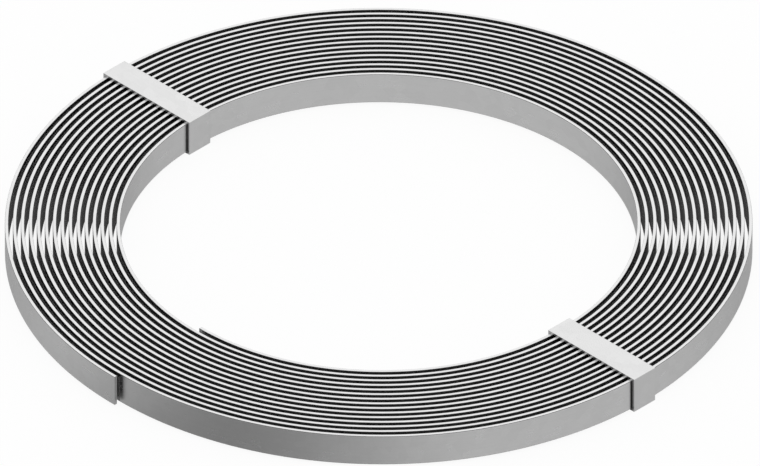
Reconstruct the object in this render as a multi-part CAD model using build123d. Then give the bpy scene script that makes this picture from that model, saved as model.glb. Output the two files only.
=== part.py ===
from build123d import *

import os
from math import sqrt

# A coil of flat steel strip, wound on edge as an open spiral and held by two flat binding straps.
# It lies on the straps' undersides: the floor is z = 0 and the winding axis is Z. Lengths in mm.

# Coiled strip: one length, from its free end in the bore to its free end outside
strip_width = 30.0
strip_thickness = 3.0
turn_gap = 4.0
turn_count = 15
bore_radius = 222.0

# Binding straps: closed flat bands round the coil's section, at opposite sides
strap_width = 26.0
strap_thickness = 2.4
strap_corner_radius = 0.4
strap_clearance = 0.2

# Winding: each half turn is an arc about one of two centres a quarter pitch from the axis,
# so that the arcs meet smoothly and every turn lies one pitch outside the last
pitch = strip_thickness + turn_gap
half_turn_step = pitch / 2
centre_offset = pitch / 4
half_turn_count = round(2 * turn_count)
right_half_turns = range(0, half_turn_count, 2)
left_half_turns = range(1, half_turn_count, 2)


def winding_radius(half_turn):
    """Radius of a half turn's inner face about its own centre."""
    return bore_radius + centre_offset + half_turn * half_turn_step


def winding_arc(half_turn, depth):
    """A half turn's arc, at a depth into the strip from its inner face."""
    on_right = half_turn in right_half_turns
    centre = (0, centre_offset if on_right else -centre_offset)
    start_angle = -90 if on_right else 90
    return CenterArc(centre, winding_radius(half_turn) + depth, start_angle, 180)


def coiled_strip():
    """The strip's outline seen along the axis, two spirals and two cut ends, raised by its width."""
    with BuildPart() as strip:
        with BuildSketch(Plane.XY.offset(strap_thickness)):
            with BuildLine():
                inner_face = [winding_arc(i, 0) for i in range(half_turn_count)]
                outer_face = [winding_arc(i, strip_thickness) for i in range(half_turn_count)]
                Line(inner_face[0] @ 0, outer_face[0] @ 0)
                Line(inner_face[-1] @ 1, outer_face[-1] @ 1)
            make_face()
        extrude(amount=strip_width)
    return strip.part


def binding_strap(side, half_turns):
    """A flat band round the half turns of one side; its bore plate is a chord of the innermost one."""
    half_chord = strap_width / 2 + centre_offset
    bore_wall = sqrt(winding_radius(half_turns[0]) ** 2 - half_chord ** 2) - strap_clearance
    rim_wall = winding_radius(half_turns[-1]) + strip_thickness + strap_clearance
    opening = rim_wall - bore_wall
    length = opening + 2 * strap_thickness
    height = strip_width + 2 * strap_thickness
    with BuildPart() as strap:
        with BuildSketch(Plane.XZ):
            with Locations((side * (bore_wall + rim_wall) / 2, height / 2)):
                RectangleRounded(length, height, strap_corner_radius)
                Rectangle(opening, strip_width, mode=Mode.SUBTRACT)
        extrude(amount=strap_width / 2, both=True)
    return strap.part


os.makedirs("parts", exist_ok=True)
export_step(coiled_strip(), "parts/coiled_strip.step")
export_step(binding_strap(1, right_half_turns), "parts/binding_strap_right.step")
export_step(binding_strap(-1, left_half_turns), "parts/binding_strap_left.step")
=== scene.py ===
from math import cos, pi, radians, sin

import bmesh
import bpy
from mathutils import Matrix, Vector

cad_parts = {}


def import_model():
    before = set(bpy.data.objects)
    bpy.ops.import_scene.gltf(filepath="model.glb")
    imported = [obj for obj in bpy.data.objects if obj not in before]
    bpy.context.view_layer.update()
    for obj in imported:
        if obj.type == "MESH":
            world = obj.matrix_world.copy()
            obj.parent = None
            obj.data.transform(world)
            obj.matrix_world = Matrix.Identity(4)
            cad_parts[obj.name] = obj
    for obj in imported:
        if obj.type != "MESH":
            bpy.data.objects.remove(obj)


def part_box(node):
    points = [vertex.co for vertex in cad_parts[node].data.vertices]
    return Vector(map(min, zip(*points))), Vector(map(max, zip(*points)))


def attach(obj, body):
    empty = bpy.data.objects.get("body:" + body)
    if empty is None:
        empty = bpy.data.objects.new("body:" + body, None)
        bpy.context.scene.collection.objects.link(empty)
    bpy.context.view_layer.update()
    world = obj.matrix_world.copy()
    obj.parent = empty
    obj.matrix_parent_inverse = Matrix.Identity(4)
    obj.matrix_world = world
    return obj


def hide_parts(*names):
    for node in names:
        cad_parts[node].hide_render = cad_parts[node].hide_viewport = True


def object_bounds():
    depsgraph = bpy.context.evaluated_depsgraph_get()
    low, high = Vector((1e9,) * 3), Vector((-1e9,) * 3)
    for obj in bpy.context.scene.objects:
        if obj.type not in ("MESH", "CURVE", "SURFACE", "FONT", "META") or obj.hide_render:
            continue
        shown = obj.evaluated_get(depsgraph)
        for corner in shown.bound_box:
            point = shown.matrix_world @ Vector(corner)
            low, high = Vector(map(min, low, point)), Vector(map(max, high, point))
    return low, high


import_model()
cad_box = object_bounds()

# A ring of flat galvanised strip, wound on edge and held by two binding straps. Lengths in metres.

# Coiled strip; its rim, width and place come from the frame
STRIP_THICKNESS = 0.003
TURN_GAP = 0.004
TURN_COUNT = 15
STRIP_EDGE_RADIUS = 0.0004
STRIP_EDGE_SEGMENTS = 3
STEPS_PER_HALF_TURN = 96
END_BURR = 0.0002
PITCH = STRIP_THICKNESS + TURN_GAP
CENTRE_OFFSET = PITCH / 4
STRIP_LOW, STRIP_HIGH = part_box("coiled_strip")
STRIP_WIDTH = STRIP_HIGH.z - STRIP_LOW.z
STRIP_MIDDLE = STRIP_LOW.z + STRIP_WIDTH / 2
RIM_RADIUS = -STRIP_LOW.y
BORE_RADIUS = RIM_RADIUS - STRIP_THICKNESS - TURN_COUNT * PITCH

# Binding straps; their sizes and places come from the frame
STRAP_CORNER_RADIUS = 0.0004
STRAP_CORNER_SEGMENTS = 4
STRAP_RIM_BEVEL = 0.0002
STRAP_RIM_SEGMENTS = 2
STRAP_HALF_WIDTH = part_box("binding_strap_left")[1].y

# Points nearer to each other than this are one
MERGE_DISTANCE = 0.00001

# A crease runs where one face has less than this share of its neighbour's area
CREASE_SHARE = 1 / 3

# How far a face's normal points up on the strip's slit corners, and sideways on the straps' slit sides
CORNER_UPRIGHT_MIN = 0.1
CORNER_UPRIGHT_MAX = 0.9
SHEARED_SIDEWAYS_MIN = 0.5

# Finishes: colour, roughness, and the share by which rolled lines and zinc crystals vary both
ZINC = {"Colour": (0.76, 0.76, 0.76, 1), "Roughness": 0.28, "Lines": 0.05, "Spangle": 0.04}
SHEARED_STEEL = {"Colour": (0.5, 0.5, 0.5, 1), "Roughness": 0.4, "Lines": 0.2, "Spangle": 0.0}
# Near-black colour on the strip's slit corners, which makes its bright edges look narrower
DARK_CORNER_STEEL = {"Colour": (0.08, 0.08, 0.08, 1), "Roughness": 0.4, "Lines": 0.2, "Spangle": 0.0}
GRAZING_TINT = (0.72, 0.72, 0.72, 1)

# Rolled lines across and along the grain, and zinc crystals
LINES_PER_METRE = 400
LINE_BREAKS_PER_METRE = 10
LINE_DETAIL = 3
SPANGLES_PER_METRE = 110
PATTERN_MIDDLE = 0.5
RELIEF = 0.0001
RELIEF_STRENGTH = 0.05

# A painted highlight makes the strip's edges brighter than its walls by this share
EDGE_HIGHLIGHT = 0.06

# Between the turns the zinc is smoother, and darker by painted shade, by these shares, fully from this
# depth on
SHELTERED_SMOOTHING = 0.8
SHELTERED_SHADE = 0.6
SHELTER_DEPTH = 0.001

# Share of the zinc that dust covers between the turns, and the depths where it starts and is full
DUST_SHARE = 0.7
DUST_START = 0.0025
DUST_DEPTH = 0.005

# The outermost gap holds less dust near the outer free end, by this share; it is cleanest up to
# the first angle from the end and as dusty as elsewhere past the second, in degrees
CLEAN_END_SHARE = 0.5
CLEAN_END_ANGLE = 1.5
CLEAN_END_LIMIT = 6

# Painted shade on the strip beside the straps, as the share of the zinc's colour that it takes away
STRAP_SHADE = 0.8
STRAP_SHADE_REACH = 0.0023
STRAP_SHADE_FADE = 0.001

# Camera, at the photograph's angle and scale
VIEW_AZIMUTH = 45
VIEW_ELEVATION = 35.3
FRAME_WIDTH = 0.6663
VIEW_CENTRE = Vector((-0.00041, -0.00041, 0.022))
CAMERA_DISTANCE = 2.0

# Floor and surround; the camera sees the floor's glow by this share and its paint by the rest
WHITE = (1, 1, 1, 1)
SURROUND_STRENGTH = 1
FLOOR_SIZE = 12.0
FLOOR_DROP = 0.0001
FLOOR_COLOUR = (0.9, 0.9, 0.9, 1)
FLOOR_SEEN_SHARE = 0.92

# The floor's brightness in the metal: in the open, and under the turns except near the outer free end
MIRRORED_FLOOR = 0.58
MIRRORED_UNDER = 0.07
COVER_EDGE = 0.001
END_LIGHT_REACH = 0.024

# A soft shade on the mirrored floor beside the outer free end; angles in degrees from -Y towards +X
SHADE_ANGLE = 19
SHADE_HALF_WIDTH = 45
SHADE_DEPTH = 0.57
SHADE_REACH = 0.12
SHADE_FADE = 0.06

# Softbox
SOFTBOX_SIZE = 2.6
SOFTBOX_DISTANCE = 2.0
SOFTBOX_ELEVATION = 42
SOFTBOX_RADIANCE = 0.05


def facing(azimuth, elevation):
    """Unit vector from the coil towards a place on the sky; azimuth 0 is on -Y and 90 on +X."""
    turn = radians(azimuth)
    rise = radians(elevation)
    return Vector((sin(turn) * cos(rise), -cos(turn) * cos(rise), sin(rise)))


# Pieces


def new_piece(name, bm, materials, node):
    """Turns a bmesh into a piece that stands for a CAD node and rides on the one body."""
    mesh = bpy.data.meshes.new(name)
    bm.to_mesh(mesh)
    bm.free()
    for material in materials:
        mesh.materials.append(material)
    piece = bpy.data.objects.new(name, mesh)
    bpy.context.scene.collection.objects.link(piece)
    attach(piece, "root")
    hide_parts(node)


def crease(bm):
    """Smooth shading, with a crease where a narrow face meets one that is far larger."""
    for face in bm.faces:
        face.smooth = True
    for edge in bm.edges:
        areas = sorted(face.calc_area() for face in edge.link_faces)
        edge.smooth = len(areas) == 2 and areas[0] > CREASE_SHARE * areas[1]


def round_off(bm, geom, affect, radius, segments):
    """Rounds edges, or the corners of a flat face."""
    bmesh.ops.bevel(
        bm,
        geom=geom,
        offset=radius,
        segments=segments,
        profile=0.5,
        affect=affect,
        material=-1,
    )


def strip_section(bm, turn):
    """The strip's cross-section with its rounded corners, where a turn starts on -Y."""
    middle = Vector((0, -BORE_RADIUS - turn * PITCH - STRIP_THICKNESS / 2, STRIP_MIDDLE))
    upright = Matrix.Rotation(pi / 2, 4, "Y")
    size = Matrix.Diagonal((1, STRIP_THICKNESS / 2, STRIP_WIDTH / 2, 1))
    place = Matrix.Translation(middle) @ size @ upright
    corners = bmesh.ops.create_grid(bm, x_segments=1, y_segments=1, size=1, matrix=place)["verts"]
    round_off(bm, corners, "VERTICES", STRIP_EDGE_RADIUS, STRIP_EDGE_SEGMENTS)


def is_corner(face):
    """True on the strip's slit corners, which lie between its walls and its edges."""
    return CORNER_UPRIGHT_MIN < abs(face.normal.z) < CORNER_UPRIGHT_MAX


def coiled_strip(zinc, dark_corner_metal):
    """All turns at once: half a turn about one centre, then half a turn about the other."""
    bm = bmesh.new()
    for turn in range(TURN_COUNT):
        strip_section(bm, turn)
    bmesh.ops.delete(bm, geom=bm.faces[:], context="FACES_ONLY")
    sections = bm.verts[:] + bm.edges[:]
    for centre_y in (CENTRE_OFFSET, -CENTRE_OFFSET):
        spun = bmesh.ops.spin(
            bm,
            geom=sections,
            cent=(0, centre_y, 0),
            axis=(0, 0, 1),
            angle=pi,
            steps=STEPS_PER_HALF_TURN,
        )
        sections = spun["geom_last"]
    bmesh.ops.remove_doubles(bm, verts=bm.verts[:], dist=MERGE_DISTANCE)
    free_ends = [edge for edge in bm.edges if edge.is_boundary]
    caps = bmesh.ops.holes_fill(bm, edges=free_ends)["faces"]
    bmesh.ops.recalc_face_normals(bm, faces=bm.faces[:])
    bmesh.ops.inset_region(bm, faces=caps, thickness=END_BURR, depth=END_BURR)
    bm.normal_update()
    for face in bm.faces:
        # The slit corners take the near-black steel
        face.material_index = 1 if is_corner(face) else 0
    crease(bm)
    new_piece("strip_wound_on_edge", bm, [zinc, dark_corner_metal], "coiled_strip")


def is_sheared(face):
    """True on a strap's slit sides, which face along Y."""
    return abs(face.normal.y) > SHEARED_SIDEWAYS_MIN


def is_fold(edge, middle, size):
    """True on a strap's four outer folds, which run along Y."""
    reach = (edge.verts[0].co + edge.verts[1].co) / 2 - middle
    at_wall = abs(reach.x) > size.x / 2 - MERGE_DISTANCE
    at_plate = abs(reach.z) > size.z / 2 - MERGE_DISTANCE
    return at_wall and at_plate and abs(reach.y) < MERGE_DISTANCE


def binding_strap(name, node, zinc, sheared):
    """A flat band folded round the coil's section: a sleeve with thickness, folds and slit sides."""
    low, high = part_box(node)
    size = high - low
    middle = (low + high) / 2
    thickness = STRIP_LOW.z - low.z
    opening = Matrix.Diagonal((size.x - 2 * thickness, size.y, size.z - 2 * thickness, 1))
    bm = bmesh.new()
    bmesh.ops.create_cube(bm, size=1, matrix=Matrix.Translation(middle) @ opening)
    bmesh.ops.delete(bm, geom=[face for face in bm.faces if is_sheared(face)], context="FACES_ONLY")
    bmesh.ops.solidify(bm, geom=bm.faces[:], thickness=-thickness)
    bmesh.ops.recalc_face_normals(bm, faces=bm.faces[:])
    folds = [edge for edge in bm.edges if is_fold(edge, middle, size)]
    round_off(bm, folds, "EDGES", STRAP_CORNER_RADIUS, STRAP_CORNER_SEGMENTS)
    bm.normal_update()
    rims = [edge for edge in bm.edges if len({is_sheared(face) for face in edge.link_faces}) == 2]
    round_off(bm, rims, "EDGES", STRAP_RIM_BEVEL, STRAP_RIM_SEGMENTS)
    bm.normal_update()
    for face in bm.faces:
        face.material_index = 1 if is_sheared(face) else 0
    crease(bm)
    new_piece(name, bm, [zinc, sheared], node)


# Shader nodes


def feed(tree, socket, value):
    """Gives a socket a link or a plain value."""
    if isinstance(value, bpy.types.NodeSocket):
        tree.links.new(value, socket)
    else:
        socket.default_value = value


def add(tree, kind, group=None, **inputs):
    """A new node, with values or links for its inputs; an input's spaces are written as underscores."""
    node = tree.nodes.new(kind)
    if group:
        node.node_tree = group
    for name, value in inputs.items():
        feed(tree, node.inputs[name.replace("_", " ")], value)
    return node


def maths(tree, operation, *values):
    """A math node's output, for numbers or links."""
    node = tree.nodes.new("ShaderNodeMath")
    node.operation = operation
    for socket, value in zip(node.inputs, values):
        feed(tree, socket, value)
    return node.outputs[0]


def product(tree, first, *others):
    """Numbers or links multiplied together."""
    result = first
    for other in others:
        result = maths(tree, "MULTIPLY", result, other)
    return result


def without(tree, share):
    """What is left of 1 once a share is taken away."""
    return maths(tree, "SUBTRACT", 1, share)


def vectors(tree, operation, *values):
    """A vector math node, for vectors or links."""
    node = tree.nodes.new("ShaderNodeVectorMath")
    node.operation = operation
    for socket, value in zip(node.inputs, values):
        feed(tree, socket, value)
    return node


def toned(tree, colour, tone):
    """A colour made lighter or darker."""
    node = vectors(tree, "SCALE", colour)
    feed(tree, node.inputs["Scale"], tone)
    return node.outputs["Vector"]


def ramp(tree, value, low, high):
    """A smooth rise from 0 at low to 1 at high, or a fall where low is the larger."""
    node = add(tree, "ShaderNodeMapRange", Value=value, From_Min=low, From_Max=high)
    node.interpolation_type = "SMOOTHSTEP"
    return node.outputs["Result"]


def object_place(tree):
    """A place on the piece, and its axes."""
    place = tree.nodes.new("ShaderNodeTexCoord").outputs["Object"]
    return place, add(tree, "ShaderNodeSeparateXYZ", Vector=place).outputs


def shader_group(name, inputs, outputs):
    """A new node group with named sockets: its tree, what it is given and what it puts out."""
    tree = bpy.data.node_groups.new(name, "ShaderNodeTree")
    for in_out, sockets in (("INPUT", inputs), ("OUTPUT", outputs)):
        for socket, kind in sockets.items():
            tree.interface.new_socket(socket, in_out=in_out, socket_type="NodeSocket" + kind)
    given = tree.nodes.new("NodeGroupInput").outputs
    result = tree.nodes.new("NodeGroupOutput").inputs
    return tree, given, result


def winding_group():
    """Where a place lies in the winding: angle from -Y, radius, and radius with the spiral unwound."""
    tree, given, result = shader_group(
        "winding",
        {"Place": "Vector"},
        {"Angle": "Float", "Radius": "Float", "Unwound": "Float"},
    )
    axes = add(tree, "ShaderNodeSeparateXYZ", Vector=given["Place"]).outputs
    side = maths(tree, "SIGN", axes["X"])
    from_centre = maths(tree, "SUBTRACT", axes["Y"], product(tree, side, CENTRE_OFFSET))
    level = add(tree, "ShaderNodeCombineXYZ", X=axes["X"], Y=from_centre).outputs["Vector"]
    radius = vectors(tree, "LENGTH", level).outputs["Value"]
    grown = product(tree, maths(tree, "SUBTRACT", side, 2), CENTRE_OFFSET)
    angle = maths(tree, "ARCTAN2", axes["X"], product(tree, axes["Y"], -1))
    tree.links.new(angle, result["Angle"])
    tree.links.new(radius, result["Radius"])
    tree.links.new(maths(tree, "ADD", radius, grown), result["Unwound"])
    return tree


def rolled_zinc_group():
    """Fine lines from the rolls along the grain and faint zinc crystals, in tone, gloss and relief."""
    tree, given, result = shader_group(
        "rolled_zinc",
        {
            "Place": "Vector",
            "Grain": "Vector",
            "Colour": "Color",
            "Roughness": "Float",
            "Lines": "Float",
            "Spangle": "Float",
        },
        {"Colour": "Color", "Roughness": "Float", "Height": "Float"},
    )
    noise = add(tree, "ShaderNodeTexNoise", Vector=given["Grain"], Scale=1, Detail=LINE_DETAIL)
    cells = add(tree, "ShaderNodeTexVoronoi", Vector=given["Place"], Scale=SPANGLES_PER_METRE)
    line = noise.outputs["Fac"]
    crystal = add(tree, "ShaderNodeSeparateColor", Color=cells.outputs["Color"]).outputs["Red"]
    line_tone = product(tree, maths(tree, "SUBTRACT", line, PATTERN_MIDDLE), given["Lines"])
    crystal_tone = product(tree, maths(tree, "SUBTRACT", crystal, PATTERN_MIDDLE), given["Spangle"])
    tone = maths(tree, "ADD", maths(tree, "ADD", line_tone, crystal_tone), 1)
    tree.links.new(toned(tree, given["Colour"], tone), result["Colour"])
    tree.links.new(maths(tree, "DIVIDE", given["Roughness"], tone), result["Roughness"])
    tree.links.new(tone, result["Height"])
    return tree


# Metals


def metal(name):
    """A bare metal: its material, tree and shader."""
    material = bpy.data.materials.new(name)
    material.use_nodes = True
    shader = material.node_tree.nodes["Principled BSDF"]
    shader.inputs["Metallic"].default_value = 1
    shader.inputs["Specular Tint"].default_value = GRAZING_TINT
    return material, material.node_tree, shader


def relief(tree, shader, height):
    """Raises the surface a little by a height."""
    bump = add(tree, "ShaderNodeBump", Strength=RELIEF_STRENGTH, Distance=RELIEF, Height=height)
    tree.links.new(bump.outputs[0], shader.inputs["Normal"])


def between_turns(tree, unwound):
    """A mask of the walls that face another turn, so neither the bore's wall nor the rim's."""
    past_bore = maths(tree, "GREATER_THAN", unwound, BORE_RADIUS + STRIP_THICKNESS / 2)
    before_rim = maths(tree, "LESS_THAN", unwound, RIM_RADIUS - PITCH - STRIP_THICKNESS / 2)
    return product(tree, past_bore, before_rim)


def swept(tree, wound):
    """How much of the dust is gone: a share in the outermost gap, near the outer free end."""
    gap_start = RIM_RADIUS - 2 * PITCH - STRIP_THICKNESS / 2
    outermost = maths(tree, "GREATER_THAN", wound["Unwound"], gap_start)
    from_end = maths(tree, "ABSOLUTE", wound["Angle"])
    near_end = ramp(tree, from_end, radians(CLEAN_END_LIMIT), radians(CLEAN_END_ANGLE))
    return product(tree, outermost, near_end, CLEAN_END_SHARE)


def strip_metal(winding, rolled_zinc):
    """Zinc with lines along the winding, a painted highlight on its edges, painted shade beside the
    straps, and painted shade and dust on the hidden walls.
    """
    material, tree, shader = metal("zinc_strip")
    place, axes = object_place(tree)
    wound = add(tree, "ShaderNodeGroup", winding, Place=place).outputs
    grain = add(
        tree,
        "ShaderNodeCombineXYZ",
        X=product(tree, wound["Radius"], LINES_PER_METRE),
        Y=product(tree, axes["Z"], LINES_PER_METRE),
        Z=product(tree, maths(tree, "ADD", axes["X"], axes["Y"]), LINE_BREAKS_PER_METRE),
    ).outputs["Vector"]
    zinc = add(tree, "ShaderNodeGroup", rolled_zinc, Place=place, Grain=grain, **ZINC).outputs

    # Masks
    from_middle = maths(tree, "ABSOLUTE", maths(tree, "SUBTRACT", axes["Z"], STRIP_MIDDLE))
    edge = STRIP_WIDTH / 2
    inside = ramp(tree, from_middle, edge, edge - SHELTER_DEPTH)
    deep = ramp(tree, from_middle, edge - DUST_START, edge - DUST_DEPTH)
    sheltered = product(tree, inside, between_turns(tree, wound["Unwound"]))
    reach = STRAP_HALF_WIDTH + STRAP_SHADE_REACH
    near_strap = ramp(tree, maths(tree, "ABSOLUTE", axes["Y"]), reach, reach - STRAP_SHADE_FADE)

    # Colour with painted shade and a painted highlight, gloss and dust
    # Painted shade on the strip beside the straps
    strap_shade = product(tree, inside, near_strap, STRAP_SHADE)
    # The darker of the painted shade beside the straps and the painted shade between the turns
    painted_shade = maths(tree, "MAXIMUM", strap_shade, product(tree, sheltered, SHELTERED_SHADE))
    # Painted highlight on the strip's edges
    highlight = product(tree, without(tree, inside), EDGE_HIGHLIGHT)
    tone = maths(tree, "ADD", without(tree, painted_shade), highlight)
    weathered = without(tree, product(tree, sheltered, SHELTERED_SMOOTHING))
    dust = product(tree, sheltered, deep, without(tree, swept(tree, wound)), DUST_SHARE)
    tree.links.new(toned(tree, zinc["Colour"], tone), shader.inputs["Base Color"])
    tree.links.new(product(tree, zinc["Roughness"], weathered), shader.inputs["Roughness"])
    tree.links.new(without(tree, dust), shader.inputs["Metallic"])
    relief(tree, shader, zinc["Height"])
    return material


def rolled_metal(name, rolled_zinc, finish):
    """Metal with one finish, with its lines round a strap's band."""
    material, tree, shader = metal(name)
    place, axes = object_place(tree)
    grain = add(
        tree,
        "ShaderNodeCombineXYZ",
        X=product(tree, axes["Y"], LINES_PER_METRE),
        Z=product(tree, maths(tree, "ADD", axes["X"], axes["Z"]), LINE_BREAKS_PER_METRE),
    ).outputs["Vector"]
    rolled = add(tree, "ShaderNodeGroup", rolled_zinc, Place=place, Grain=grain, **finish).outputs
    tree.links.new(rolled["Colour"], shader.inputs["Base Color"])
    tree.links.new(rolled["Roughness"], shader.inputs["Roughness"])
    relief(tree, shader, rolled["Height"])
    return material


# Stage


def shown_rays(tree):
    """Two masks: rays that show a surface to the camera, and rays that show it in metal or glass."""
    path = tree.nodes.new("ShaderNodeLightPath").outputs
    mirrored = maths(tree, "MAXIMUM", path["Is Glossy Ray"], path["Is Transmission Ray"])
    return path["Is Camera Ray"], mirrored


def mirrored_floor(tree, winding):
    """How bright the metal sees the floor: dark under the turns, and shaded beside the outer free end."""
    place = tree.nodes.new("ShaderNodeTexCoord").outputs["Object"]
    wound = add(tree, "ShaderNodeGroup", winding, Place=place).outputs
    rim = RIM_RADIUS - PITCH
    past_bore = ramp(tree, wound["Unwound"], BORE_RADIUS, BORE_RADIUS + COVER_EDGE)
    before_rim = ramp(tree, wound["Unwound"], rim, rim - COVER_EDGE)
    free_end = (0, -RIM_RADIUS + STRIP_THICKNESS, 0)
    from_end = vectors(tree, "DISTANCE", place, free_end).outputs["Value"]
    covered = product(tree, past_bore, before_rim, ramp(tree, from_end, 0, END_LIGHT_REACH))
    from_shade = maths(tree, "ABSOLUTE", maths(tree, "SUBTRACT", wound["Angle"], radians(SHADE_ANGLE)))
    beside = ramp(tree, from_shade, radians(SHADE_HALF_WIDTH), 0)
    shade_limit = RIM_RADIUS + SHADE_REACH
    near = ramp(tree, wound["Radius"], shade_limit, shade_limit - SHADE_FADE)
    outside = maths(tree, "GREATER_THAN", wound["Radius"], BORE_RADIUS)
    shade = product(tree, beside, near, outside, SHADE_DEPTH)
    lit = product(tree, without(tree, shade), without(tree, covered), MIRRORED_FLOOR)
    return maths(tree, "ADD", lit, product(tree, covered, MIRRORED_UNDER))


def white_floor(winding):
    """White paint that glows for rays that show it, and still takes the coil's soft shadow."""
    material = bpy.data.materials.new("white_floor")
    material.use_nodes = True
    tree = material.node_tree
    tree.nodes.remove(tree.nodes["Principled BSDF"])
    paint = add(tree, "ShaderNodeBsdfDiffuse", Color=FLOOR_COLOUR)
    seen, mirrored = shown_rays(tree)
    strength = maths(tree, "ADD", seen, product(tree, mirrored, mirrored_floor(tree, winding)))
    glow = add(tree, "ShaderNodeEmission", Color=WHITE, Strength=strength)
    share = maths(tree, "MAXIMUM", product(tree, seen, FLOOR_SEEN_SHARE), mirrored)
    mix = add(tree, "ShaderNodeMixShader", Fac=share)
    tree.links.new(paint.outputs[0], mix.inputs[1])
    tree.links.new(glow.outputs[0], mix.inputs[2])
    tree.links.new(mix.outputs[0], tree.nodes["Material Output"].inputs["Surface"])
    return material


def floor(paint):
    """A wide plain floor, just under the straps."""
    place = Matrix.Translation((0, 0, cad_box[0].z - FLOOR_DROP))
    bm = bmesh.new()
    bmesh.ops.create_grid(bm, x_segments=1, y_segments=1, size=FLOOR_SIZE / 2, matrix=place)
    mesh = bpy.data.meshes.new("floor")
    bm.to_mesh(mesh)
    bm.free()
    mesh.materials.append(paint)
    plane = bpy.data.objects.new("floor", mesh)
    bpy.context.scene.collection.objects.link(plane)


def world():
    """A plain white surround."""
    surround = bpy.data.worlds.new("white_surround")
    surround.use_nodes = True
    background = surround.node_tree.nodes["Background"]
    background.inputs["Color"].default_value = WHITE
    background.inputs["Strength"].default_value = SURROUND_STRENGTH
    bpy.context.scene.world = surround


def softbox():
    """One large, faint light behind and above the coil, which the strip's upper edges mirror."""
    light = bpy.data.lights.new("softbox", "AREA")
    light.shape = "SQUARE"
    light.size = SOFTBOX_SIZE
    light.energy = SOFTBOX_RADIANCE * pi * SOFTBOX_SIZE ** 2
    lamp = bpy.data.objects.new("softbox", light)
    towards = facing(VIEW_AZIMUTH + 180, SOFTBOX_ELEVATION)
    lamp.location = towards * SOFTBOX_DISTANCE
    lamp.rotation_euler = towards.to_track_quat("Z", "Y").to_euler()
    bpy.context.scene.collection.objects.link(lamp)


def camera():
    """A camera without perspective, at the photograph's angle."""
    lens = bpy.data.cameras.new("camera")
    lens.type = "ORTHO"
    lens.ortho_scale = FRAME_WIDTH
    viewer = bpy.data.objects.new("camera", lens)
    back = facing(VIEW_AZIMUTH, VIEW_ELEVATION)
    viewer.location = VIEW_CENTRE + back * CAMERA_DISTANCE
    viewer.rotation_euler = back.to_track_quat("Z", "Y").to_euler()
    bpy.context.scene.collection.objects.link(viewer)
    bpy.context.scene.camera = viewer


winding_nodes = winding_group()
rolled_nodes = rolled_zinc_group()
strip_zinc = strip_metal(winding_nodes, rolled_nodes)
strap_zinc = rolled_metal("zinc_strap", rolled_nodes, ZINC)
strap_sides = rolled_metal("sheared_edges", rolled_nodes, SHEARED_STEEL)
strip_corners = rolled_metal("dark_corners", rolled_nodes, DARK_CORNER_STEEL)
coiled_strip(strip_zinc, strip_corners)
binding_strap("strap_left", "binding_strap_left", strap_zinc, strap_sides)
binding_strap("strap_right", "binding_strap_right", strap_zinc, strap_sides)
floor(white_floor(winding_nodes))
world()
softbox()
camera()
bpy.context.scene.view_settings.view_transform = "Standard"
